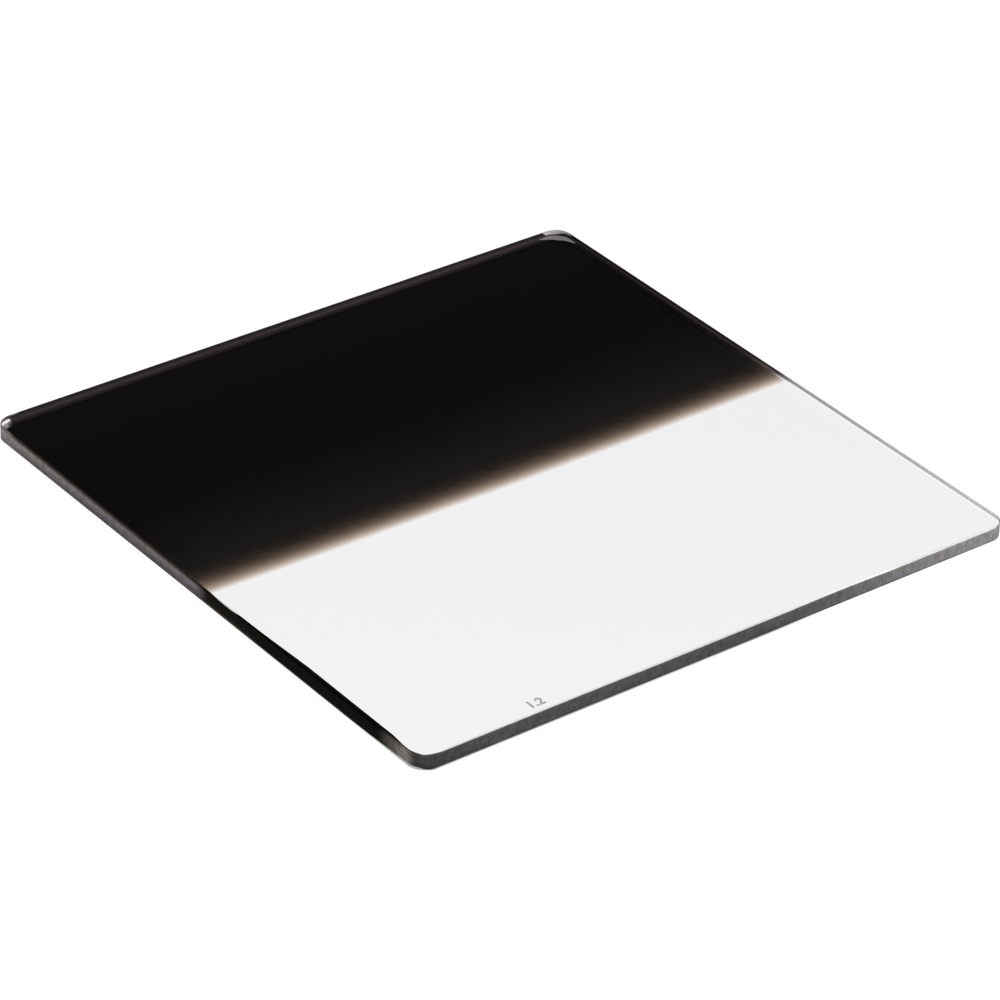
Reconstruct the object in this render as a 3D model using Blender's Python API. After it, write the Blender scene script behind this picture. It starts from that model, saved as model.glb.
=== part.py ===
"""Square graduated neutral density filter for a matte box: one ground plate of optical glass.

The plate lies flat, centred on the origin, with its lower face on the ground plane.
+Y points to the dense half of the filter and -Y to the clear half. All sizes are in metres.
"""

from math import radians

import bmesh
import bpy

# Driving dimensions
SIDE_LENGTH = 0.16764  # both ways across the plate, 6.6 inches
PLATE_THICKNESS = 0.0040
CORNER_RADIUS = 0.0045  # of the four upright corners, seen from above
ARRIS_WIDTH = 0.0003  # of the 45 degree flat that takes the sharpness off every rim

# Fineness of the round corners
CORNER_SEGMENTS = 16

# Angle above which two faces meet at a real edge and not along a round corner
EDGE_ANGLE = radians(30)

COLLECTION_NAME = "square_graduated_nd_filter"
PLATE_NAME = "filter_plate"


def clear_scene():
    """Remove every object of the scene that the script is run in."""
    for thing in list(bpy.data.objects):
        bpy.data.objects.remove(thing, do_unlink=True)


def new_collection(name):
    """Make a collection under the scene and return it."""
    collection = bpy.data.collections.new(name)
    bpy.context.scene.collection.children.link(collection)
    return collection


def coated_glass():
    """Return the plate's material: optical glass under a dark graduated coat."""
    material = bpy.data.materials.new("graduated_glass")
    material.use_nodes = True
    shader = material.node_tree.nodes["Principled BSDF"]
    shader.inputs["Base Color"].default_value = (0.30, 0.29, 0.28, 1.0)
    shader.inputs["Roughness"].default_value = 0.05
    shader.inputs["Metallic"].default_value = 0.0
    shader.inputs["IOR"].default_value = 1.52
    return material


def is_upright(edge):
    """Tell whether an edge runs straight up, from the lower face to the upper one."""
    start, end = edge.verts
    return (start.co.xy - end.co.xy).length < PLATE_THICKNESS * 0.01


def is_rim(edge):
    """Tell whether an edge lies where a flat face of the plate meets its ground side."""
    return edge.calc_face_angle() > EDGE_ANGLE


def square_blank(mesh):
    """Start the plate as a square blank cut from the sheet, standing on the ground plane."""
    bmesh.ops.create_cube(mesh, size=1.0)
    bmesh.ops.scale(mesh, vec=(SIDE_LENGTH, SIDE_LENGTH, PLATE_THICKNESS), verts=mesh.verts)
    bmesh.ops.translate(mesh, vec=(0.0, 0.0, PLATE_THICKNESS / 2), verts=mesh.verts)


def round_corners(mesh):
    """Grind the four upright corners to their radius."""
    bmesh.ops.bevel(
        mesh,
        geom=[edge for edge in mesh.edges if is_upright(edge)],
        affect="EDGES",
        offset_type="OFFSET",
        offset=CORNER_RADIUS,
        segments=CORNER_SEGMENTS,
        profile=0.5,
    )


def grind_arrises(mesh):
    """Take the sharpness off the rims of both faces with one flat at 45 degrees."""
    bmesh.ops.bevel(
        mesh,
        geom=[edge for edge in mesh.edges if is_rim(edge)],
        affect="EDGES",
        offset_type="OFFSET",
        offset=ARRIS_WIDTH,
        segments=1,
        profile=0.5,
    )


def make_plate(collection):
    """Model the glass plate, give it its material and return its object."""
    mesh = bmesh.new()
    square_blank(mesh)
    round_corners(mesh)
    grind_arrises(mesh)
    data = bpy.data.meshes.new(PLATE_NAME)
    mesh.to_mesh(data)
    mesh.free()
    data.materials.append(coated_glass())
    data.shade_smooth()
    data.set_sharp_from_angle(angle=EDGE_ANGLE)
    plate = bpy.data.objects.new(PLATE_NAME, data)
    collection.objects.link(plate)
    return plate


def main():
    """Build the filter in an empty scene."""
    clear_scene()
    collection = new_collection(COLLECTION_NAME)
    make_plate(collection)


main()
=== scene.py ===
"""Looks of a square graduated neutral density filter: one ground plate of optical glass.

The plate lies flat on its lower face. +Y points to the dense half and -Y to the clear half, and +X
runs along the edge of the graduation. The graduated film lies on the lower face, so the far side
faces are seen through clear glass and once more, dimly, mirrored in the film. Sizes are in metres,
but the finishes of the ground sides are laid out in millimetres.
"""

import logging
from collections.abc import Callable
from dataclasses import asdict, dataclass
from enum import Enum
from functools import reduce
from math import pi, radians

import bmesh
import bpy
from mathutils import Matrix, Vector


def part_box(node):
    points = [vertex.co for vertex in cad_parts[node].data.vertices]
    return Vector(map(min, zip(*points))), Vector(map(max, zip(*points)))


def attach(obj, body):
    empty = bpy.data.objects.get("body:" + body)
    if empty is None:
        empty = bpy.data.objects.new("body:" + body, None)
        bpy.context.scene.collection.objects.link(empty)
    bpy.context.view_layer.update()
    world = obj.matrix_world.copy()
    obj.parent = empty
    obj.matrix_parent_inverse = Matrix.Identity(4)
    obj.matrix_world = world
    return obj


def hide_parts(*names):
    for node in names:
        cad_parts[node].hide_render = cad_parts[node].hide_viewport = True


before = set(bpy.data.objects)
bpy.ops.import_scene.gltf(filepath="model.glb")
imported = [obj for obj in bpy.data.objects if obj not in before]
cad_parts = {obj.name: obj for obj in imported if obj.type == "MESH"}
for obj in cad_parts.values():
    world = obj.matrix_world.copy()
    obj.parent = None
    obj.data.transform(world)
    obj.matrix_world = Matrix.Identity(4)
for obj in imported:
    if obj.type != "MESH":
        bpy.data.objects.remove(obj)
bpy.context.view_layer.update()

LOG = logging.getLogger("graduated_filter")
PLATE_NODE = "filter_plate"
BODY = "root"
MILLIMETRE = 0.001

GLASS_IOR = 1.5
EDGE_ANGLE = radians(30.0)  # above which two faces meet at a real edge
FLAT = 0.99  # least upward part of a flat face's normal
SAME_HEIGHT = 1e-6  # greatest distance between heights that count as one

# Watts by which a lamp of each kind lights a white card fully from one metre away
LAMP_POWER = {"AREA": pi * pi, "SPOT": 4.0 * pi * pi}

Colour = tuple[float, float, float]
Socket = bpy.types.NodeSocket
Outputs = bpy.types.NodeOutputs
Material = bpy.types.Material
Object = bpy.types.Object

VECTOR = "NodeSocketVector"
NUMBER = "NodeSocketFloat"
COLOUR = "NodeSocketColor"


def grey(level: float) -> Colour:
    """Return an even grey of that linear level."""
    return (level, level, level)


class Ray(Enum):
    """Kinds of ray that a shader may tell apart, by the name of their Light Path output."""

    CAMERA = "Is Camera Ray"
    SHADOW = "Is Shadow Ray"
    DIFFUSE = "Is Diffuse Ray"
    GLOSSY = "Is Glossy Ray"
    TRANSMISSION = "Is Transmission Ray"


class Finish(Enum):
    """Finishes of the plate's faces, by the material slot that holds each."""

    POLISHED = 0
    COATED = 1
    GROUND = 2
    ENGRAVED = 3
    # A near-black strip of painted shade on the upper face
    BLACKENED = 4


class Board:
    """A node tree that is filled node by node."""

    def __init__(self, tree: bpy.types.NodeTree) -> None:
        """Start an empty board on the node tree of a material, a world or a group."""
        self.tree = tree
        self.tree.nodes.clear()

    def feed(self, socket: Socket, value: object) -> None:
        """Link an input to another node's output, or set its own value.

        Args:
            socket: The input.
            value: An output socket, or a plain value.
        """
        if isinstance(value, Socket):
            self.tree.links.new(value, socket)
        elif socket.type == "RGBA":
            socket.default_value = (*value, 1.0)
        else:
            socket.default_value = value

    def add(self, kind: str, inputs: dict | None = None, **settings: object) -> bpy.types.Node:
        """Add a node.

        Args:
            kind: The node's type, such as ShaderNodeMath.
            inputs: What each input gets, by its name or number.
            **settings: The node's own properties.

        Returns:
            The new node.
        """
        node = self.tree.nodes.new(kind)
        count = len(self.tree.nodes) - 1
        node.location = (220.0 * (count // 4), -260.0 * (count % 4))
        for name, value in settings.items():
            setattr(node, name, value)
        for key, value in (inputs or {}).items():
            self.feed(node.inputs[key], value)
        return node

    def first(self, kind: str, inputs: dict | None = None, **settings: object) -> Socket:
        """Add a node and return its first output."""
        return self.add(kind, inputs, **settings).outputs[0]

    def maths(self, operation: str, *values: object, clamp: bool = False) -> Socket:
        """Add a Math node and return its result, between 0 and 1 where it is clamped."""
        inputs = dict(enumerate(values))
        return self.first("ShaderNodeMath", inputs, operation=operation, use_clamp=clamp)

    def times(self, *values: object) -> Socket:
        """Multiply two or more numbers."""
        return reduce(lambda product, value: self.maths("MULTIPLY", product, value), values)

    def plus(self, first: object, second: object) -> Socket:
        """Add two numbers."""
        return self.maths("ADD", first, second)

    def less(self, first: object, second: object) -> Socket:
        """Take the second number from the first."""
        return self.maths("SUBTRACT", first, second)

    def without(self, share: object) -> Socket:
        """Return what a share leaves of 1."""
        return self.maths("SUBTRACT", 1.0, share)

    def line(self, value: object, slope: object, start: object) -> Socket:
        """Return a straight line's height at a value: start at 0, and up by slope for each 1."""
        return self.maths("MULTIPLY_ADD", value, slope, start)

    def ramp(
        self,
        value: object,
        start: object,
        end: object,
        low: object = 0.0,
        high: object = 1.0,
        smooth: bool = True,
    ) -> Socket:
        """Map a value between two limits to a span, flat outside them.

        Args:
            value: What is mapped.
            start: Where the span begins.
            end: Where the span ends.
            low: The result at start.
            high: The result at end.
            smooth: Whether the span eases in and out.

        Returns:
            The mapped value.
        """
        kind = "SMOOTHSTEP" if smooth else "LINEAR"
        inputs = {"Value": value, "From Min": start, "From Max": end, "To Min": low, "To Max": high}
        return self.add("ShaderNodeMapRange", inputs, interpolation_type=kind).outputs["Result"]

    def pick(self, share: object, first: object, second: object) -> Socket:
        """Mix two numbers, from the first at a share of 0 to the second at 1."""
        return self.first("ShaderNodeMix", {0: share, 2: first, 3: second})

    def blend(self, share: object, first: object, second: object) -> Socket:
        """Mix two colours, from the first at a share of 0 to the second at 1."""
        inputs = {0: share, 6: first, 7: second}
        return self.add("ShaderNodeMix", inputs, data_type="RGBA").outputs[2]

    def tinted(self, first: object, second: object) -> Socket:
        """Multiply two colours."""
        inputs = {0: 1.0, 6: first, 7: second}
        return self.add("ShaderNodeMix", inputs, data_type="RGBA", blend_type="MULTIPLY").outputs[2]

    def dimmed(self, colour: object, share: object) -> Socket:
        """Multiply a colour by a number."""
        return self.tinted(colour, self.first("ShaderNodeCombineColor", {0: share, 1: share, 2: share}))

    def bands(self, value: object, marks: tuple[tuple[float, Colour], ...]) -> Socket:
        """Colour a value by marks along its way from 0 to 1.

        Args:
            value: What is coloured.
            marks: The value and colour of each mark, in rising order.

        Returns:
            The colour, blended between the marks.
        """
        node = self.add("ShaderNodeValToRGB", {"Fac": value})
        bar = node.color_ramp
        for place, _ in marks[1:-1]:
            bar.elements.new(place)
        for element, (place, colour) in zip(bar.elements, marks):
            element.position = place
            element.color = (*colour, 1.0)
        return node.outputs["Color"]

    def noise(self, place: object, scale: object, detail: float, roughness: float = 0.5) -> Socket:
        """Return a cloudy pattern, whose level is from 0 to 1."""
        inputs = {"Vector": place, "Scale": scale, "Detail": detail, "Roughness": roughness}
        return self.add("ShaderNodeTexNoise", inputs).outputs["Fac"]

    def place(self) -> Socket:
        """Return the place on the object, in metres."""
        return self.add("ShaderNodeTexCoord").outputs["Object"]

    def turned(self, place: object, degrees: float, scale: tuple[float, float, float]) -> Socket:
        """Turn a place about Z and stretch it."""
        inputs = {"Vector": place, "Rotation": (0.0, 0.0, radians(degrees)), "Scale": scale}
        return self.first("ShaderNodeMapping", inputs)

    def axes(self, place: object) -> Outputs:
        """Split a vector into its X, Y and Z outputs."""
        return self.add("ShaderNodeSeparateXYZ", {"Vector": place}).outputs

    def rays(self, *kinds: Ray) -> Socket:
        """Tell whether a ray is of one of some kinds.

        Args:
            *kinds: The kinds of ray.

        Returns:
            1 for such a ray, and 0 for any other.
        """
        paths = self.add("ShaderNodeLightPath").outputs
        found = paths[kinds[0].value]
        for kind in kinds[1:]:
            found = self.maths("MAXIMUM", found, paths[kind.value])
        return found

    def mirrored(self) -> Socket:
        """Return 1 for a ray that has last met a mirror, and 0 for any other."""
        return self.maths("SUBTRACT", self.rays(Ray.GLOSSY), self.rays(Ray.TRANSMISSION), clamp=True)

    def either(self, share: object, first: object, second: object) -> Socket:
        """Mix two shaders, from the first at a share of 0 to the second at 1."""
        return self.first("ShaderNodeMixShader", {0: share, 1: first, 2: second})

    def glass(self, colour: object, roughness: object, glint: Colour) -> Socket:
        """Return clear glass of a colour, whose head-on reflections have the tint of its glint."""
        look = {"Base Color": colour, "Roughness": roughness, "Specular Tint": glint, "IOR": GLASS_IOR}
        return self.first("ShaderNodeBsdfPrincipled", {**look, "Transmission Weight": 1.0})

    def open_glass(self, colour: object) -> Socket:
        """Return a surface that a ray passes straight through."""
        return self.first("ShaderNodeBsdfTransparent", {"Color": colour})

    def finish(self, surface: Socket) -> None:
        """Send a shader to the material's or world's output."""
        kind = "World" if surface.node.type == "BACKGROUND" else "Material"
        self.add(f"ShaderNodeOutput{kind}", {"Surface": surface})


@dataclass(frozen=True)
class EffectGroup:
    """A shading effect that a material may use: a node group with named inputs and outputs."""

    name: str
    inputs: tuple[tuple[str, str], ...]
    outputs: tuple[tuple[str, str], ...]
    fill: Callable[[Board, Outputs], dict[str, Socket]]

    def tree(self) -> bpy.types.NodeTree:
        """Return the group's node tree, which is built the first time.

        Returns:
            The node tree.
        """
        known = bpy.data.node_groups.get(self.name)
        if known is not None:
            return known
        made = bpy.data.node_groups.new(self.name, "ShaderNodeTree")
        for sockets, way in ((self.inputs, "INPUT"), (self.outputs, "OUTPUT")):
            for name, kind in sockets:
                made.interface.new_socket(name, in_out=way, socket_type=kind)
        board = Board(made)
        given = board.add("NodeGroupInput").outputs
        board.add("NodeGroupOutput", self.fill(board, given))
        return made

    def put(self, board: Board, inputs: dict[str, object]) -> Outputs:
        """Place the effect on a material's board, with what each named input gets."""
        return board.add("ShaderNodeGroup", inputs, node_tree=self.tree()).outputs


def numbers(*names: str) -> tuple[tuple[str, str], ...]:
    """Name some inputs or outputs of an effect that are numbers."""
    return tuple((name, NUMBER) for name in names)


# For red, green and blue: how much denser the film is halfway up its climb, and everywhere past its
# first few millimetres
FILM_TINTS = ((-0.15, 0.0), (0.0, 0.01), (0.03, 0.105))

# Stretches in metres: where the second of these comes on and where the film creeps denser, both
# from the clear limit on, and where its sheen rises, along Y
ONSET_SPAN = (0.0, 0.003)
CREEP_SPAN = (0.0015, 0.0485)
SHEEN_SPAN = (0.060, 0.076)

WAVE_SCALE = 45.0  # of the film's uneven limit
FROST_SCALE = 9000.0  # of the fine frost between the wheel's marks


def fill_density(board: Board, given: Outputs) -> dict[str, Socket]:
    """Fill the effect that fades the film in, by its density.

    From the clear limit on, the density climbs over a short way and then creeps on towards the dense
    end. A film lets one tenth through for each whole step of density. A thin film passes red more
    easily than blue, which makes the fade warm, and the denser it is, the more it mirrors.

    Args:
        board: The group's board.
        given: The group's inputs.

    Returns:
        What the film lets through, the tint that its glass gets, and the share that it mirrors.
    """
    axes = board.axes(given["Place"])
    lean = board.times(axes["X"], given["Slant"])
    bow = board.times(axes["X"], axes["X"], given["Bow"])
    limit = board.plus(board.plus(given["Clear Limit"], lean), bow)
    wave = board.less(board.noise(given["Place"], WAVE_SCALE, 3.0), 0.5)
    reach = board.plus(board.less(axes["Y"], limit), board.times(wave, given["Unevenness"]))
    rise = board.maths("DIVIDE", reach, given["Climb"], clamp=True)
    climb = board.maths("POWER", board.maths("SINE", board.times(rise, pi / 2)), 1.2)
    creep = board.ramp(reach, *CREEP_SPAN)
    density = board.plus(board.times(climb, given["Density"]), board.times(creep, given["Creep"]))
    halfway = board.maths("SINE", board.times(rise, pi))
    onset = board.ramp(reach, *ONSET_SPAN, smooth=False)
    passed = []
    for middle, beyond in FILM_TINTS:
        own = board.line(onset, beyond, board.line(halfway, middle, density))
        passed.append(board.maths("POWER", 10.0, board.times(board.maths("MAXIMUM", own, 0.0), -1.0)))
    stopped = board.without(passed[1])
    most = board.ramp(axes["Y"], *SHEEN_SPAN, given["Sheen"], given["End Sheen"])
    sheen = board.times(stopped, stopped, most)
    left = board.without(sheen)
    tint = [board.maths("DIVIDE", part, left, clamp=True) for part in passed]
    return {
        "Passed": board.first("ShaderNodeCombineColor", dict(enumerate(passed))),
        "Tint": board.first("ShaderNodeCombineColor", dict(enumerate(tint))),
        "Mirrored": sheen,
    }


DENSITY = EffectGroup(
    "film_density",
    (
        ("Place", VECTOR),
        *numbers("Clear Limit", "Climb", "Density", "Creep", "Slant", "Bow", "Unevenness"),
        *numbers("Sheen", "End Sheen"),
    ),
    (("Passed", COLOUR), ("Tint", COLOUR), *numbers("Mirrored")),
    fill_density,
)


def fill_grinding(board: Board, given: Outputs) -> dict[str, Socket]:
    """Fill the effect of a wheel's marks on ground glass: slanting ticks over a mottled frost.

    Args:
        board: The group's board.
        given: The group's inputs.

    Returns:
        The height of the marks, the light and dark patches and the warm and cool ones, from 0 to 1.
    """
    axes = board.axes(given["Place"])
    along = board.plus(axes["X"], axes["Y"])
    flat = board.first("ShaderNodeCombineXYZ", {0: along, 1: axes["Z"], 2: 0.0})
    slanting = board.turned(flat, 35.0, (1.0, 0.22, 1.0))
    ticks = board.ramp(board.noise(slanting, given["Tick Scale"], 4.0, 0.6), 0.36, 0.64)
    patches = board.ramp(board.noise(flat, given["Patch Scale"], 4.0, 0.6), 0.34, 0.66)
    casts = board.ramp(board.noise(given["Place"], given["Patch Scale"], 2.0), 0.38, 0.62)
    frost = board.noise(given["Place"], FROST_SCALE, 2.0)
    return {
        "Height": board.plus(ticks, board.times(frost, 0.5)),
        "Mottle": board.pick(0.5, ticks, patches),
        "Cast": casts,
    }


GRINDING = EffectGroup(
    "grinding_marks",
    (("Place", VECTOR), *numbers("Tick Scale", "Patch Scale")),
    numbers("Height", "Mottle", "Cast"),
    fill_grinding,
)


@dataclass(frozen=True)
class Grinding:
    """How coarse the wheel's marks are, and how rough and raised they leave a surface."""

    tick_scale: float
    patch_scale: float
    roughness: float
    gloss: float
    relief: tuple[float, float]  # how far the marks show, from 0 to 1, and how high they are

    def marks(self, board: Board) -> Outputs:
        """Place the marks on a board."""
        scales = {"Tick Scale": self.tick_scale, "Patch Scale": self.patch_scale}
        return GRINDING.put(board, {"Place": board.place(), **scales})

    def surface(self, board: Board, colour: Socket, height: Socket) -> Socket:
        """Shade the ground surface.

        Args:
            board: The board of its material.
            colour: Its colour.
            height: The height of its marks.

        Returns:
            The shader.
        """
        strength, distance = self.relief
        bump = {"Height": height, "Strength": strength, "Distance": distance}
        look = {
            "Base Color": colour,
            "Roughness": self.roughness,
            "IOR": GLASS_IOR,
            "Specular IOR Level": self.gloss,
            "Normal": board.first("ShaderNodeBump", bump),
        }
        return board.first("ShaderNodeBsdfPrincipled", look)


def new_material(name: str) -> Material:
    """Make a material that has a node tree.

    Args:
        name: The material's name.

    Returns:
        The material.
    """
    material = bpy.data.materials.new(name)
    material.use_nodes = True
    return material


@dataclass(frozen=True)
class PolishedFinish:
    """The polished upper face: clear glass with the last traces of the polishing cloth."""

    tint: Colour = (0.978, 0.978, 1.0)
    glint: Colour = grey(0.06)
    most_roughness: float = 0.004
    lamp_share: float = 0.92

    def material(self) -> Material:
        """Build the material.

        Returns:
            The material of the polished face.
        """
        material = new_material("polished_glass")
        board = Board(material.node_tree)
        wipes = board.noise(board.turned(board.place(), 24.0, (8.0, 60.0, 8.0)), 3.0, 4.0)
        roughness = board.ramp(wipes, 0.45, 0.75, 0.0, self.most_roughness)
        glass = board.glass(self.tint, roughness, self.glint)
        # A ray that the film has mirrored leaves through this face without another echo
        way_out = {"Color": self.tint, "Roughness": 0.0, "IOR": GLASS_IOR}
        leaving = board.first("ShaderNodeBsdfRefraction", way_out)
        bloomed = board.either(board.mirrored(), glass, leaving)
        lamps = board.rays(Ray.SHADOW, Ray.DIFFUSE)
        board.finish(board.either(lamps, bloomed, board.open_glass(grey(self.lamp_share))))
        return material


@dataclass(frozen=True)
class CoatedFinish:
    """The lower face: clear glass whose metal film fades in towards the dense end."""

    clear_limit: float = -0.00523
    climb: float = 0.012
    density: float = 1.95
    creep: float = 1.02
    slant: float = -0.0052
    bow: float = 0.12
    unevenness: float = 0.0004
    sheen: float = 0.62
    end_sheen: float = 0.85

    def film(self, board: Board) -> Outputs:
        """Place the film's density on a board: each field above is an input of that name."""
        figures = {name.replace("_", " ").title(): value for name, value in asdict(self).items()}
        return DENSITY.put(board, {"Place": board.place(), **figures})

    def material(self) -> Material:
        """Build the material.

        Returns:
            The material of the coated face.
        """
        material = new_material("graduated_film")
        board = Board(material.node_tree)
        film = self.film(board)
        glass = board.glass(board.tinted(film["Tint"], film["Tint"]), 0.0, grey(1.0))
        mirror = board.first("ShaderNodeBsdfAnisotropic", {"Color": grey(1.0), "Roughness": 0.0})
        coated = board.either(film["Mirrored"], glass, mirror)
        lamps = board.rays(Ray.SHADOW, Ray.DIFFUSE)
        board.finish(board.either(lamps, coated, board.open_glass(film["Passed"])))
        return material


@dataclass(frozen=True)
class SideShape:
    """The shape of the ground sides, in millimetres."""

    half_side: float
    thickness: float
    corner_radius: float

    @property
    def curve(self) -> float:
        """How far out the round corners begin."""
        return self.half_side - self.corner_radius


class SideBoard(Board):
    """The board of the ground sides, which knows where on them a place lies, in millimetres."""

    def __init__(self, tree: bpy.types.NodeTree, shape: SideShape) -> None:
        """Start the board.

        Args:
            tree: The node tree of the sides' material.
            shape: The shape of the sides.
        """
        super().__init__(tree)
        self.shape = shape
        axes = self.axes(self.place())
        self.x, self.y, self.z = (self.times(axes[name], 1.0 / MILLIMETRE) for name in "XYZ")
        self.across = self.maths("ABSOLUTE", self.x)
        self.along = self.maths("ABSOLUTE", self.y)
        self.lead = self.less(self.across, self.along)
        self.rail = self.ramp(self.lead, -1.0, 1.0)  # 1 on the long sides, 0 on the ends
        self.right = self.ramp(self.x, -1.0, 1.0)
        self.image = self.mirrored()
        self.direct = self.without(self.image)

    def by_x(self, start: float, end: float, low: float = 0.0, high: float = 1.0) -> Socket:
        """Map the place along X between two limits to a span."""
        return self.ramp(self.x, start, end, low, high)

    def by_y(self, start: float, end: float, low: float = 0.0, high: float = 1.0) -> Socket:
        """Map the place along Y between two limits to a span."""
        return self.ramp(self.y, start, end, low, high)

    def by_z(self, start: float, end: float, low: float = 0.0, high: float = 1.0) -> Socket:
        """Map the height above the lower face between two limits to a span."""
        return self.ramp(self.z, start, end, low, high)

    def banded(self, *marks: tuple[float, Colour]) -> Socket:
        """Colour the sides and their arrises by the height above the lower face.

        Args:
            *marks: A height and its colour each, from the foot up.

        Returns:
            The colour over the whole height.
        """
        thickness = self.shape.thickness
        share = self.maths("DIVIDE", self.z, thickness)
        return self.bands(share, tuple((height / thickness, colour) for height, colour in marks))


@dataclass(frozen=True)
class InnerLook:
    """The ground sides as they look from inside, through the polished faces; most of their colours are
    painted light and shade.
    """

    board: SideBoard
    cream: Colour = (0.97, 0.96, 0.90)
    lavender: Colour = (0.28, 0.26, 0.34)
    navy: Colour = (0.12, 0.11, 0.14)
    # Pale and lilac show only in the film's mirror at the left corner: a painted reflection
    pale: Colour = (1.0, 0.98, 0.95)
    lilac: Colour = (0.56, 0.54, 0.64)
    straight_light: Colour = (1.0, 0.95, 0.96)
    turned_light: Colour = (0.62, 0.60, 0.58)
    mirrored_light: Colour = (0.52, 0.48, 0.49)
    bare_light: Colour = (0.96, 0.94, 0.93)
    dimmed_light: Colour = (0.65, 0.60, 0.61)
    dark_arc: Colour = (0.03, 0.028, 0.028)
    # Painted shade that dims the rails in the film's mirror
    film_black: Colour = (0.0125, 0.0120, 0.0110)
    clear: Colour = grey(0.96)
    rail_image: float = 0.25
    back_share: float = 0.4

    def ends(self) -> Socket:
        """Colour the coated end with painted light: dim at the top and lighter towards the film."""
        return self.board.banded(
            (0.0, (0.066, 0.049, 0.050)),
            (0.5, (0.072, 0.056, 0.056)),
            (1.3, (0.060, 0.048, 0.048)),
            (2.1, (0.045, 0.038, 0.037)),
            (3.0, (0.027, 0.023, 0.023)),
            (4.0, (0.012, 0.010, 0.010)),
        )

    def rails(self) -> Socket:
        """Colour the coated stretch of the long sides with painted light, lighter where the film thins out.

        Returns:
            The colour, which is faint in the mirror.
        """
        board = self.board
        deep = board.banded(
            (0.0, (0.018, 0.015, 0.014)),
            (0.2, (0.032, 0.026, 0.025)),
            (0.5, (0.066, 0.052, 0.052)),
            (1.0, (0.074, 0.058, 0.058)),
            (1.5, (0.030, 0.022, 0.022)),
            (4.0, (0.010, 0.008, 0.008)),
        )
        thin = board.banded(
            (0.0, (0.07, 0.056, 0.056)),
            (0.3, (0.14, 0.116, 0.112)),
            (0.9, (0.21, 0.172, 0.167)),
            (1.4, (0.14, 0.113, 0.113)),
            (2.0, (0.075, 0.060, 0.062)),
            (4.0, (0.042, 0.037, 0.037)),
        )
        deep = board.dimmed(deep, board.by_y(30.0, 60.0, 1.0, 0.72))
        rails = board.blend(board.by_y(12.0, 0.0), deep, thin)
        # In the film's mirror the rails fade towards a near black: painted shade on the reflection
        return board.blend(board.pick(board.image, 1.0, self.rail_image), self.film_black, rails)

    def bare(self) -> Socket:
        """Colour the clear stretch, whose light fades towards the graduation.

        Returns:
            The colour, which is faint in the mirror near the far corner.
        """
        board = self.board
        run = board.ramp(board.y, -78.0, -9.0, smooth=False)
        light = board.blend(run, self.bare_light, self.dimmed_light)
        low = board.by_z(2.6, 1.8, 1.0, 0.8)
        turned = board.times(board.by_y(-79.0, -81.5, 1.0, 0.4), board.pick(board.image, 1.0, 0.2))
        return board.dimmed(light, board.times(low, turned))

    def corners(self) -> Socket:
        """Colour the coated corners, which catch light.

        Returns:
            The colour, which in the right corner goes from the end's light to the long side's.
        """
        board = self.board
        curve = board.shape.curve
        turn = board.ramp(board.lead, -4.0, 3.6)
        light = board.blend(turn, self.straight_light, self.turned_light)
        light = board.dimmed(light, board.by_z(3.0, 3.8, 1.0, 0.6))
        light = board.blend(board.image, light, self.mirrored_light)
        wide = board.times(board.ramp(turn, 0.3, 1.0, 0.0, 1.4), board.direct)
        right = board.blend(board.ramp(board.less(board.z, wide), 0.4, 0.62), self.dark_arc, light)
        # In the mirror the left corner's outer part shows pale and lilac: a painted reflection
        outer = board.times(board.image, board.by_x(-curve, -curve - 0.4))
        left = board.blend(board.by_z(1.6, 2.6), self.lavender, self.navy)
        left = board.blend(outer, left, board.blend(board.by_z(0.8, 1.6), self.pale, self.lilac))
        return board.blend(board.right, left, right)

    def corner_mask(self) -> Socket:
        """Tell where a corner catches light: round its curve and a little further along the sides.

        Returns:
            1 where it catches light.
        """
        board = self.board
        curve = board.shape.curve
        on_end = board.line(board.z, -0.425, curve + 0.3)
        on_rail = board.line(board.z, 0.6, curve - 1.4)
        straight = board.pick(board.ramp(board.lead, 0.0, 1.0), on_end, on_rail)
        image = board.plus(board.line(board.z, 0.1, curve - 2.3), board.times(board.z, board.z, 0.35))
        right = board.pick(board.image, straight, image)
        left = board.pick(board.image, curve + 0.3, curve - 0.6)
        start = board.pick(board.right, left, right)
        reach = board.less(board.maths("MINIMUM", board.across, board.along), start)
        return board.ramp(reach, -0.2, 0.2)

    def haze(self) -> Socket:
        """Tell where the upper edge of the coated end is hazy, beside the left corner.

        Returns:
            The share of haze.
        """
        board = self.board
        beside = board.times(board.by_x(-76.6, -77.4), board.by_y(78.0, 80.0))
        return board.times(board.by_z(2.3, 2.9), beside, board.direct)

    def wedge(self) -> Socket:
        """Tell where the left corner is sheer low down, as a cream wedge.

        Returns:
            The share of open glass.
        """
        board = self.board
        curve = board.shape.curve
        corner = board.times(board.by_x(0.4 - curve, -0.2 - curve), board.by_y(curve - 2.0, curve))
        return board.times(board.by_z(1.6, 0.6), corner, board.direct)

    def see_through(self) -> Socket:
        """Tell how much shows through the clear stretch: its lower part, and its round corners.

        Returns:
            The share of open glass.
        """
        board = self.board
        curve = board.shape.curve
        late = board.times(board.right, 1.6)
        round_off = board.less(board.maths("MINIMUM", board.across, board.along), late)
        low = board.maths("MAXIMUM", board.by_z(1.3, 0.7), board.ramp(round_off, curve - 0.8, curve + 0.6))
        ease = board.by_z(0.4, 0.9, 0.0, 3.0)
        return board.times(low, board.ramp(board.plus(board.y, ease), 1.5, -6.0))

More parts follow.
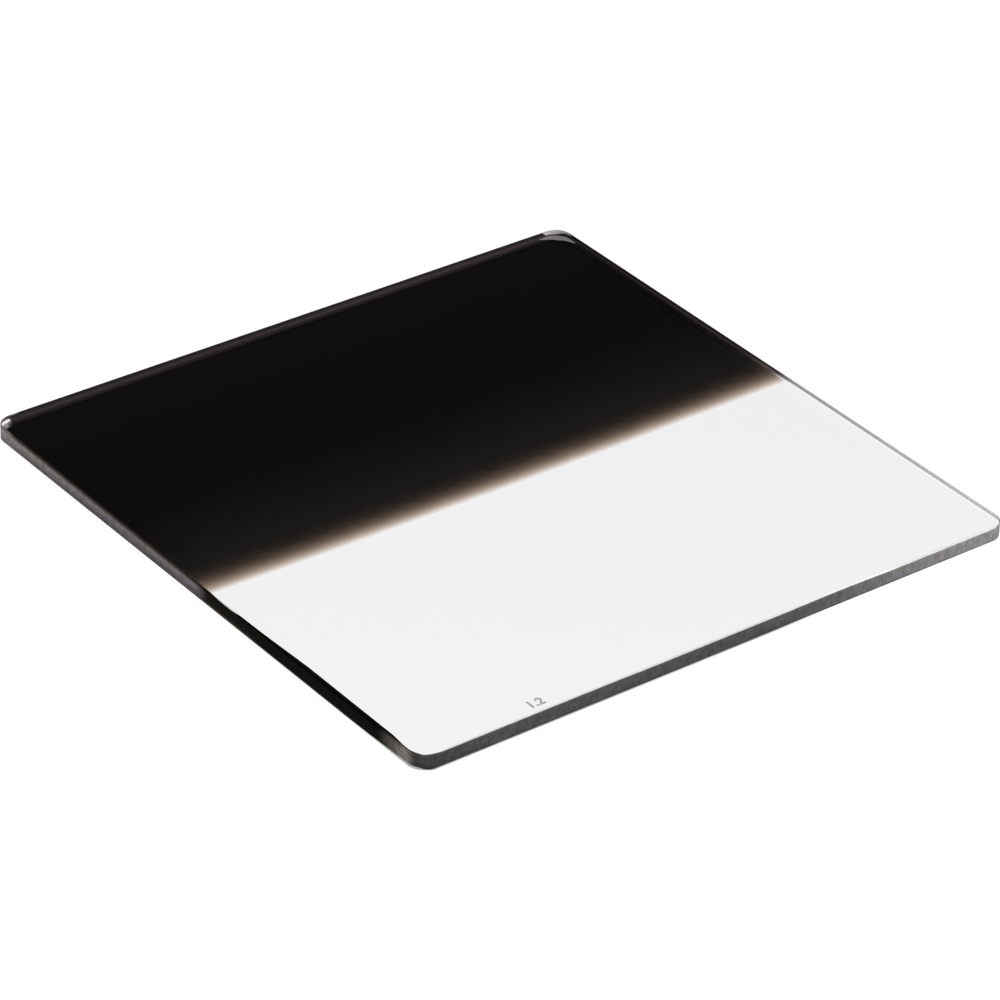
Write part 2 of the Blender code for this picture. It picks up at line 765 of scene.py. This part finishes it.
    def shader(self) -> Socket:
        """Shade the sides seen from inside.

        Returns:
            The shader.
        """
        board = self.board
        coated = board.blend(board.rail, self.ends(), self.rails())
        coated = board.blend(self.haze(), coated, self.lavender)
        coated = board.blend(self.corner_mask(), coated, self.corners())
        colour = board.blend(board.by_y(-9.0, -0.5), self.bare(), coated)
        through = board.first("ShaderNodeBsdfTranslucent", {"Color": colour})
        back = board.first("ShaderNodeBsdfDiffuse", {"Color": colour})
        frosted = board.either(self.back_share, through, back)
        wedge = self.wedge()
        open_glass = board.open_glass(board.blend(wedge, self.clear, self.cream))
        return board.either(board.maths("MAXIMUM", self.see_through(), wedge), frosted, open_glass)


@dataclass(frozen=True)
class OuterLook:
    """The ground sides as they look from outside, with the film's overspray on the coated stretch."""

    board: SideBoard
    grinding: Grinding = Grinding(2400.0, 620.0, roughness=0.5, gloss=0.01, relief=(0.25, 0.00003))
    # Where the painted highlight on the bare end's upper rim grows deeper or less deep along X, and by how
    # much
    rim_steps: tuple[tuple[float, float, float], ...] = (
        (-81.8, -76.8, 0.31),
        (-36.0, -18.0, 0.08),
        (14.0, 30.0, -0.09),
        (34.0, 56.0, 0.22),
        (78.0, 84.0, -0.50),
    )
    # Painted highlights on the upper rim: full, and dimmer where they fade towards +X
    bright_rim: Colour = grey(0.90)
    lit_rim: Colour = (0.56, 0.56, 0.565)
    # Painted shade in the front corner, and a painted pool of light on the clear stretch before it
    corner: Colour = (0.072, 0.070, 0.066)
    patch: Colour = (0.30, 0.29, 0.265)
    patch_start: Colour = (0.17, 0.150, 0.132)
    # Painted light on the foot near the front corners
    bright_foot: Colour = grey(0.95)
    warm: Colour = (1.07, 0.99, 0.95)
    cool: Colour = (0.94, 1.0, 1.05)

    def coated(self) -> Socket:
        """Colour the oversprayed stretch: dark at the rim, lightest below it, dim at the foot.

        Returns:
            The colour, with painted light round the corners of the dense end.
        """
        board = self.board
        run = board.banded(
            (0.0, (0.045, 0.040, 0.040)),
            (0.42, (0.050, 0.045, 0.044)),
            (0.60, (0.128, 0.118, 0.120)),
            (1.00, (0.146, 0.138, 0.142)),
            (1.60, (0.181, 0.167, 0.171)),
            (2.20, (0.230, 0.206, 0.211)),
            (2.80, (0.273, 0.239, 0.241)),
            (3.40, (0.152, 0.130, 0.123)),
            (3.66, (0.090, 0.076, 0.068)),
            (3.72, (0.035, 0.028, 0.024)),
        )
        end = board.banded(
            (0.0, (0.10, 0.095, 0.10)),
            (0.60, (0.170, 0.160, 0.165)),
            (1.60, (0.215, 0.200, 0.212)),
            (2.80, (0.275, 0.250, 0.260)),
            (3.50, (0.230, 0.210, 0.215)),
            (3.75, (0.140, 0.130, 0.135)),
        )
        # Painted light round the dense end's corners
        near = board.times(board.ramp(board.along, 73.5, 78.5), board.ramp(board.across, 81.5, 82.8))
        return board.blend(near, run, end)

    def bare_end(self) -> Socket:
        """Colour the bare ground end: mid grey, with painted light growing towards +X and painted shade
        towards the front corner and at the foot.

        Returns:
            The colour.
        """
        board = self.board
        bare = board.banded(
            (0.0, grey(0.040)),
            (0.42, grey(0.046)),
            (0.62, (0.121, 0.119, 0.124)),
            (2.20, (0.124, 0.121, 0.127)),
            (3.20, (0.130, 0.129, 0.124)),
            (4.0, (0.155, 0.154, 0.146)),
        )
        # Painted light along X: darker towards the front corner, lighter towards +X
        light = board.times(board.by_x(-83.0, -60.0, 0.68, 1.0), board.by_x(22.0, 85.0, 1.0, 1.48))
        return board.dimmed(bare, light)

    def bare_rail(self) -> Socket:
        """Colour the clear stretch of the long sides with painted shade, near black and browner towards the
        graduation, and a painted pool of light near its end.

        Returns:
            The colour.
        """
        board = self.board
        # Painted shade: the clear stretch near black, with a paler foot as painted light
        black = board.banded(
            (0.0, grey(0.55)),
            (0.28, grey(0.45)),
            (0.52, (0.022, 0.021, 0.019)),
            (0.95, (0.0040, 0.0036, 0.0029)),
            (4.0, (0.0029, 0.0027, 0.0022)),
        )
        brown = board.banded(
            (0.0, grey(0.26)),
            (0.28, grey(0.22)),
            (0.50, (0.065, 0.058, 0.046)),
            (1.30, (0.011, 0.009, 0.0065)),
            (4.0, (0.0046, 0.0043, 0.0035)),
        )
        black = board.blend(board.by_y(-28.0, -18.0), black, brown)
        # A painted pool of light before the front corner, dimmer at the top
        patch = board.blend(board.ramp(board.along, 74.5, 78.5), self.patch_start, self.patch)
        patch = board.dimmed(patch, board.by_z(3.4, 3.8, 1.0, 0.6))
        run = board.blend(board.ramp(board.along, 68.6, 75.6), black, patch)
        # Painted shade round the front corner itself
        return board.blend(board.ramp(board.along, 79.3, 81.5), run, self.corner)

    def rim_mask(self) -> Socket:
        """Tell where the upper rim gets a painted highlight: at the bare end, and shortly beside the coated
        stretch.

        Returns:
            1 where the highlight is painted.
        """
        board = self.board
        depth = reduce(board.plus, (board.by_x(*ends, 0.0, more) for *ends, more in self.rim_steps), -0.1)
        beside = board.times(board.by_y(-2.0, -11.0), board.by_y(-18.5, -13.5))
        depth = board.pick(board.rail, depth, board.line(beside, 0.25, -0.07))
        top = board.shape.thickness
        return board.ramp(board.plus(board.z, depth), top - 0.04, top + 0.04)

    def foot_mask(self) -> Socket:
        """Tell where the foot beside the bare end's corners gets painted light, ever higher towards them.

        Returns:
            1 where the light is painted.
        """
        board = self.board
        height = board.ramp(board.along, 52.0, 78.0, 0.0, 0.9, smooth=False)
        height = board.less(height, board.by_x(-83.6, -80.5, 0.0, 0.75))
        under = board.ramp(board.less(board.z, height), 0.1, -0.1)
        return board.times(under, board.by_y(-40.0, -50.0))

    def shader(self) -> Socket:
        """Shade the sides seen from outside.

        Returns:
            The shader.
        """
        board = self.board
        # Painted highlight along the upper rim, and painted light on the foot near the front corners
        rim_mask = self.rim_mask()
        rim = board.blend(board.by_x(35.0, 60.0), self.bright_rim, self.lit_rim)
        bare = board.blend(board.rail, self.bare_end(), self.bare_rail())
        bare = board.blend(rim_mask, bare, rim)
        bare = board.blend(self.foot_mask(), bare, self.bright_foot)
        colour = board.blend(board.by_y(-5.0, 1.0), bare, self.coated())
        marks = self.grinding.marks(board)
        tone = board.pick(marks["Mottle"], 0.70, 1.30)
        cast = board.blend(marks["Cast"], self.warm, self.cool)
        cast = board.blend(board.ramp(board.rail, 0.0, 1.0, 0.5, 0.0), cast, grey(1.0))
        marked = board.blend(board.times(rim_mask, 0.7), board.dimmed(cast, tone), grey(1.0))
        return self.grinding.surface(board, board.tinted(colour, marked), marks["Height"])


@dataclass(frozen=True)
class GroundFinish:
    """The ground side faces and arrises, which look different from inside and from outside."""

    shape: SideShape

    def material(self) -> Material:
        """Build the material.

        Returns:
            The material of the ground faces.
        """
        material = new_material("ground_glass")
        board = SideBoard(material.node_tree, self.shape)
        inside = board.add("ShaderNodeNewGeometry").outputs["Backfacing"]
        board.finish(board.either(inside, OuterLook(board).shader(), InnerLook(board).shader()))
        return material


@dataclass(frozen=True)
class MarkedFinish:
    """A rough finish in two tones, with the wheel's marks in it."""

    name: str
    dark: Colour
    light: Colour
    grinding: Grinding

    def material(self) -> Material:
        """Build the material.

        Returns:
            The material of the finish.
        """
        material = new_material(self.name)
        board = Board(material.node_tree)
        marks = self.grinding.marks(board)
        colour = board.blend(marks["Mottle"], self.dark, self.light)
        board.finish(self.grinding.surface(board, colour, marks["Height"]))
        return material


# A near-black strip on the upper face beside the dark clear stretch of the -X side: painted shade
SHADE_STRIP_FINISH = MarkedFinish(
    name="painted_shade_strip",
    dark=(0.0035, 0.0032, 0.0026),
    light=(0.0080, 0.0074, 0.0062),
    grinding=Grinding(3000.0, 500.0, roughness=0.5, gloss=0.01, relief=(0.1, 0.00002)),
)

# The frosted floor and walls of the engraved number
ENGRAVED_FROST = MarkedFinish(
    name="engraved_frost",
    dark=(0.44, 0.44, 0.43),
    light=(0.58, 0.58, 0.57),
    grinding=Grinding(5200.0, 1500.0, roughness=0.6, gloss=0.2, relief=(0.3, 0.00002)),
)


def deselect() -> None:
    """Leave edit mode and select nothing."""
    if bpy.context.mode != "OBJECT":
        bpy.ops.object.mode_set(mode="OBJECT")
    bpy.ops.object.select_all(action="DESELECT")


def activate(piece: Object) -> None:
    """Select one object alone and make it the active one.

    Args:
        piece: The object.
    """
    deselect()
    piece.select_set(True)
    bpy.context.view_layer.objects.active = piece


def pick_parts(piece: Object, kind: str, wanted: Callable[..., bool]) -> None:
    """Select the wanted edges or faces of a mesh in edit mode.

    Args:
        piece: The object in edit mode.
        kind: EDGE or FACE.
        wanted: Tells whether an edge or a face is wanted.
    """
    bpy.ops.mesh.select_mode(type=kind)
    bpy.ops.mesh.select_all(action="DESELECT")
    mesh = bmesh.from_edit_mesh(piece.data)
    for part in mesh.edges if kind == "EDGE" else mesh.faces:
        if wanted(part):
            part.select_set(True)
    mesh.select_flush_mode()
    bmesh.update_edit_mesh(piece.data)


@dataclass(frozen=True)
class EngravedNumber:
    """The plain density number, cut a hair deep into the upper face beside the clear edge."""

    words: str = "1.2"
    letter_height: float = 0.0025
    cap_share: float = 0.69  # height of a figure as a share of the text's size
    centre: tuple[float, float] = (-0.0502, -0.0806)
    reach: float = 0.01  # no part of the number is further from its centre
    depth: float = 0.00004
    boldness: float = 0.00012
    weld: float = 1e-7

    def cutter(self, surface: float) -> Object:
        """Make the solid that cuts the number.

        Args:
            surface: The height of the face that is engraved.

        Returns:
            A closed mesh that reaches from the engraving's floor to above the face.
        """
        deselect()
        bpy.ops.object.text_add(location=(0.0, 0.0, 0.0))
        text = bpy.context.object
        text.name = "number_cutter"
        text.data.body = self.words
        text.data.size = self.letter_height / self.cap_share
        text.data.offset = self.boldness
        text.data.extrude = self.depth
        text.data.align_x = "CENTER"
        text.data.resolution_u = 6
        bpy.ops.object.convert(target="MESH")
        cutter = bpy.context.object
        low = cutter.bound_box[0]
        high = cutter.bound_box[6]
        middle = ((low[0] + high[0]) / 2, (low[1] + high[1]) / 2)
        cutter.location = (self.centre[0] - middle[0], self.centre[1] - middle[1], surface)
        bpy.ops.object.transform_apply(location=True, rotation=True, scale=True)
        bpy.ops.object.mode_set(mode="EDIT")
        bpy.ops.mesh.select_all(action="SELECT")
        bpy.ops.mesh.remove_doubles(threshold=self.weld)
        bpy.ops.mesh.normals_make_consistent(inside=False)
        bpy.ops.object.mode_set(mode="OBJECT")
        return cutter

    def cut(self, piece: Object, surface: float) -> None:
        """Cut the number into a piece.

        Args:
            piece: The piece that is engraved.
            surface: The height of its upper face.
        """
        cutter = self.cutter(surface)
        activate(piece)
        bpy.ops.object.modifier_add(type="BOOLEAN")
        boolean = piece.modifiers[-1]
        boolean.operation = "DIFFERENCE"
        boolean.solver = "EXACT"
        boolean.object = cutter
        bpy.ops.object.modifier_apply(modifier=boolean.name)
        bpy.data.objects.remove(cutter, do_unlink=True)


@dataclass(frozen=True)
class ShadeStrip:
    """The near-black strip of painted shade on the upper face, beside the dark clear stretch of the -X
    side.
    """

    # Places along the side and how far the black reaches in from it there, both in millimetres
    outline: tuple[tuple[float, float], ...] = (
        (-13.0, 0.30),
        (-25.0, 0.46),
        (-42.0, 1.06),
        (-73.0, 1.00),
        (-77.5, 0.58),
        (-79.6, 0.62),
        (-81.0, 0.98),
        (-82.6, 1.90),
    )

    def cut(self, piece: Object, half_side: float, surface: float) -> None:
        """Cut the strip's outline into the upper face.

        Args:
            piece: The plate, with one upper face.
            half_side: Half the length of the plate's side.
            surface: The height of the upper face.
        """
        activate(piece)
        bpy.ops.object.mode_set(mode="EDIT")
        places = [(along * MILLIMETRE, inset * MILLIMETRE - half_side) for along, inset in self.outline]
        for along, _ in places:
            self.select(piece, surface, half_side, -half_side)
            bpy.ops.mesh.bisect(plane_co=(0.0, along, surface), plane_no=(0.0, 1.0, 0.0))
        for (start, first), (end, second) in zip(places, places[1:]):
            self.select(piece, surface, start, end)
            across = Vector((end - start, first - second, 0.0)).normalized()
            bpy.ops.mesh.bisect(plane_co=(first, start, surface), plane_no=across)
        bpy.ops.object.mode_set(mode="OBJECT")

    def select(self, piece: Object, surface: float, start: float, end: float) -> None:
        """Select the upper faces whose middles lie between two places along Y.

        Args:
            piece: The plate in edit mode.
            surface: The height of the upper face.
            start: The place further towards +Y.
            end: The other place.
        """

        def wanted(face: bmesh.types.BMFace) -> bool:
            """Tell whether a face is an upper one between the two places."""
            middle = face.calc_center_bounds()
            return face.normal.z > FLAT and abs(middle.z - surface) < SAME_HEIGHT and end < middle.y < start

        pick_parts(piece, "FACE", wanted)

    def holds(self, middle: Vector, half_side: float) -> bool:
        """Tell whether a face of the upper side with that middle is part of the strip.

        Args:
            middle: The middle of the face.
            half_side: Half the length of the plate's side.

        Returns:
            Whether the strip holds it.
        """
        along, inset = middle.y / MILLIMETRE, (middle.x + half_side) / MILLIMETRE
        for (start, first), (end, second) in zip(self.outline, self.outline[1:]):
            if end <= along < start:
                return inset < first + (second - first) * (along - start) / (end - start)
        return False


@dataclass
class GlassPlate:
    """The filter itself: one closed solid of glass whose faces carry different finishes."""

    low: Vector
    high: Vector
    corner_radius: float = 0.0045
    corner_segments: int = 32
    arris_width: float = 0.0003
    number: EngravedNumber = EngravedNumber()
    # The strip of painted shade beside the -X side
    lap: ShadeStrip = ShadeStrip()

    @property
    def half_side(self) -> float:
        """Half the length of a side."""
        return (self.high.x - self.low.x) / 2

    @property
    def thickness(self) -> float:
        """The height from the lower to the upper face."""
        return self.high.z - self.low.z

    def blank(self) -> Object:
        """Cut the square blank from the sheet.

        Returns:
            The blank, in place.
        """
        deselect()
        bpy.ops.mesh.primitive_cube_add(size=1.0, location=(self.low + self.high) / 2)
        piece = bpy.context.object
        piece.name = "filter_glass"
        piece.data.name = "filter_glass"
        piece.scale = self.high - self.low
        bpy.ops.object.transform_apply(location=True, rotation=True, scale=True)
        return piece

    def grind(self, piece: Object) -> None:
        """Round the blank's upright corners and break its sharp rims.

        Args:
            piece: The blank.
        """
        activate(piece)
        bpy.ops.object.mode_set(mode="EDIT")
        half = self.thickness / 2
        pick_parts(piece, "EDGE", lambda edge: abs(edge.verts[0].co.z - edge.verts[1].co.z) > half)
        segments = self.corner_segments
        bpy.ops.mesh.bevel(offset=self.corner_radius, segments=segments, profile=0.5, affect="EDGES")
        pick_parts(piece, "EDGE", lambda edge: edge.calc_face_angle() > EDGE_ANGLE)
        bpy.ops.mesh.bevel(offset=self.arris_width, segments=1, profile=0.5, affect="EDGES")
        bpy.ops.object.mode_set(mode="OBJECT")

    def finish_of(self, face: bpy.types.MeshPolygon) -> Finish:
        """Tell which finish a face gets.

        Args:
            face: A face of the finished mesh.

        Returns:
            Its finish.
        """
        upper = face.normal.z > FLAT and face.center.z > self.high.z - SAME_HEIGHT
        if upper and self.lap.holds(face.center, self.half_side):
            return Finish.BLACKENED
        if upper:
            return Finish.POLISHED
        away = face.center.xy - Vector(self.number.centre)
        if away.length < self.number.reach and face.center.z > self.high.z - self.arris_width / 2:
            return Finish.ENGRAVED
        if face.normal.z < -FLAT:
            return Finish.COATED
        return Finish.GROUND

    def dress(self, piece: Object) -> None:
        """Give every face its finish and shading.

        Args:
            piece: The finished mesh.
        """
        sizes = (self.half_side, self.thickness, self.corner_radius)
        finishes = {
            Finish.POLISHED: PolishedFinish(),
            Finish.COATED: CoatedFinish(),
            Finish.GROUND: GroundFinish(SideShape(*(size / MILLIMETRE for size in sizes))),
            Finish.ENGRAVED: ENGRAVED_FROST,
            Finish.BLACKENED: SHADE_STRIP_FINISH,
        }
        piece.data.materials.clear()
        for finish in Finish:
            piece.data.materials.append(finishes[finish].material())
        for face in piece.data.polygons:
            face.material_index = self.finish_of(face).value
        activate(piece)
        bpy.ops.object.shade_smooth_by_angle(angle=EDGE_ANGLE)

    def build(self) -> Object:
        """Make the plate.

        Returns:
            The finished plate, riding on its body.
        """
        piece = self.blank()
        self.grind(piece)
        self.lap.cut(piece, self.half_side, self.high.z)
        self.number.cut(piece, self.high.z)
        self.dress(piece)
        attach(piece, BODY)
        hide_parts(PLATE_NODE)
        return piece


@dataclass
class Studio:
    """The pale floor, the white surroundings and the soft lamps."""

    half_side: float
    rim_radius: float = 0.0042  # of the lower face's corners, inside the arris
    rim_inset: float = 0.0003
    floor_reach: float = 14.0
    floor_drop: float = 0.00005
    floor_colour: Colour = grey(0.8)
    floor_glow: float = 1.07
    floor_shadow: float = 0.12
    seen_through: float = 1.004
    ambient: float = 0.5
    horizon: float = 0.9
    ceiling: Colour = (0.0056, 0.0051, 0.0047)
    dark_from: float = 0.06
    dark_to: float = 0.2
    lamp_softness: float = 0.02
    # Where the crack's shadow begins and where it is full: outward from the lower face's outline,
    # inward from the -Y side, and along X at its two ends
    crack_out: tuple[float, float] = (0.00034, 0.00022)
    crack_front: tuple[float, float] = (0.0010, 0.0004)
    crack_right: tuple[float, float] = (0.030, 0.012)
    crack_left: tuple[float, float] = (-0.082, -0.0795)

    def contact(self, board: Board) -> Socket:
        """Tell where the floor lies in the crack under the front arris, away from the side lamp.

        Args:
            board: The floor's board.

        Returns:
            1 in the crack and 0 elsewhere.
        """
        axes = board.axes(board.place())
        straight = self.half_side - self.rim_inset - self.rim_radius
        sides = [board.less(board.maths("ABSOLUTE", axes[name]), straight) for name in ("X", "Y")]
        outward = [board.maths("MAXIMUM", side, 0.0) for side in sides]
        corner = board.first("ShaderNodeCombineXYZ", dict(enumerate(outward)))
        reach = board.add("ShaderNodeVectorMath", {0: corner}, operation="LENGTH").outputs["Value"]
        near = board.ramp(board.less(reach, self.rim_radius), *self.crack_out)
        front = board.ramp(board.plus(axes["Y"], self.half_side), *self.crack_front)
        unlit = [board.ramp(axes["X"], *ends) for ends in (self.crack_right, self.crack_left)]
        return board.times(near, front, *unlit)

    def floor(self) -> Object:
        """Lay the floor.

        Returns:
            The floor.
        """
        deselect()
        bpy.ops.mesh.primitive_plane_add(size=2.0 * self.floor_reach, location=(0.0, 0.0, -self.floor_drop))
        floor = bpy.context.object
        floor.name = "studio_floor"
        bpy.ops.object.transform_apply(location=True, rotation=True, scale=True)
        material = new_material("pale_floor")
        board = Board(material.node_tree)
        lit = board.first("ShaderNodeBsdfDiffuse", {"Color": self.floor_colour})
        glow, through = (
            board.first("ShaderNodeEmission", {"Color": grey(1.0), "Strength": strength})
            for strength in (self.floor_glow, self.seen_through)
        )
        seen = board.either(board.pick(self.contact(board), self.floor_shadow, 1.0), glow, lit)
        seen = board.either(board.rays(Ray.TRANSMISSION), seen, through)
        shown = board.rays(Ray.CAMERA, Ray.GLOSSY, Ray.TRANSMISSION)
        board.finish(board.either(shown, lit, seen))
        floor.data.materials.append(material)
        return floor

    def world(self) -> None:
        """Set the surroundings: even soft light, white to the camera, and dark overhead in mirrors."""
        world = bpy.data.worlds.new("soft_studio")
        bpy.context.scene.world = world
        world.use_nodes = True
        board = Board(world.node_tree)
        height = board.axes(board.add("ShaderNodeTexCoord").outputs["Generated"])["Z"]
        dark = board.ramp(height, self.dark_from, self.dark_to)
        mirrored = board.blend(dark, grey(self.horizon), self.ceiling)
        soft = board.blend(board.rays(Ray.GLOSSY, Ray.TRANSMISSION), grey(self.ambient), mirrored)
        seen = board.blend(board.rays(Ray.CAMERA), soft, grey(1.0))
        board.finish(board.first("ShaderNodeBackground", {"Color": seen, "Strength": 1.0}))

    def lamp(
        self, name: str, kind: str, place: Vector, aim: Vector, level: float, **settings: object
    ) -> Object:
        """Hang one soft lamp that faces its aim, out of sight of the camera and of mirrors.

        Args:
            name: The lamp's name.
            kind: AREA or SPOT.
            place: Where it hangs.
            aim: The point that it faces.
            level: How bright a white card at the aim, facing the lamp, looks by its light.
            **settings: The lamp's own properties, such as its size.

        Returns:
            The lamp.
        """
        light = bpy.data.lights.new(name, kind)
        light.energy = level * LAMP_POWER[kind] * (place - aim).length_squared
        for setting, value in settings.items():
            setattr(light, setting, value)
        lamp = bpy.data.objects.new(name, light)
        bpy.context.scene.collection.objects.link(lamp)
        lamp.location = place
        lamp.rotation_euler = (aim - place).to_track_quat("-Z", "Y").to_euler()
        lamp.visible_camera = False
        lamp.visible_glossy = False
        lamp.visible_transmission = False
        return lamp

    def build(self) -> list[Object]:
        """Set up the whole studio.

        Returns:
            The floor and the lamps.
        """
        self.world()
        side = self.half_side
        middle = Vector((0.0, 0.0, 0.0))
        right = Vector((0.080, -side, 0.002))
        left = Vector((-side, 0.080, 0.002))
        over = Vector((0.25, -0.2, 1.2))
        low_right = Vector((0.13, -0.36, 0.10))
        low_left = Vector((-0.28, 0.17, 0.08))
        soft = {"spot_blend": 1.0, "shadow_soft_size": self.lamp_softness}
        return [
            self.floor(),
            self.lamp("key", "AREA", over, middle, 0.4, shape="SQUARE", size=0.9),
            self.lamp("right_end", "SPOT", low_right, right, 0.74, spot_size=radians(24.0), **soft),
            self.lamp("left_end", "SPOT", low_left, left, 0.24, spot_size=radians(17.0), **soft),
        ]


@dataclass(frozen=True)
class ProductCamera:
    """The camera, where the photograph was taken from."""

    place: tuple[float, float, float] = (-0.61496, -0.77784, 0.61663)
    heading: float = radians(38.403)
    tilt: float = radians(32.045)
    roll: float = radians(2.233)
    lens: float = 181.52
    film_width: float = 36.0

    def build(self) -> Object:
        """Set the camera up and make it the scene's own.

        Returns:
            The camera.
        """
        data = bpy.data.cameras.new("product_camera")
        data.lens = self.lens
        data.sensor_width = self.film_width
        data.clip_start = 0.01
        data.clip_end = 50.0
        camera = bpy.data.objects.new("product_camera", data)
        bpy.context.scene.collection.objects.link(camera)
        turn = Matrix.Rotation(-self.heading, 4, "Z") @ Matrix.Rotation(pi / 2 - self.tilt, 4, "X")
        turn = turn @ Matrix.Rotation(self.roll, 4, "Z")
        camera.matrix_world = Matrix.Translation(self.place) @ turn
        bpy.context.scene.camera = camera
        return camera


def main() -> None:
    """Build the scene in order."""
    logging.basicConfig(level=logging.INFO, format="%(message)s")
    bpy.context.scene.view_settings.view_transform = "Standard"
    camera = ProductCamera().build()
    LOG.info("camera %s at %s", camera.name, tuple(round(value, 4) for value in camera.location))
    low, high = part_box(PLATE_NODE)
    for thing in Studio(half_side=(high.x - low.x) / 2).build():
        LOG.info("studio: %s", thing.name)
    plate = GlassPlate(low, high).build()
    LOG.info("plate: %s, %d faces", plate.name, len(plate.data.polygons))


if __name__ == "__main__":
    main()
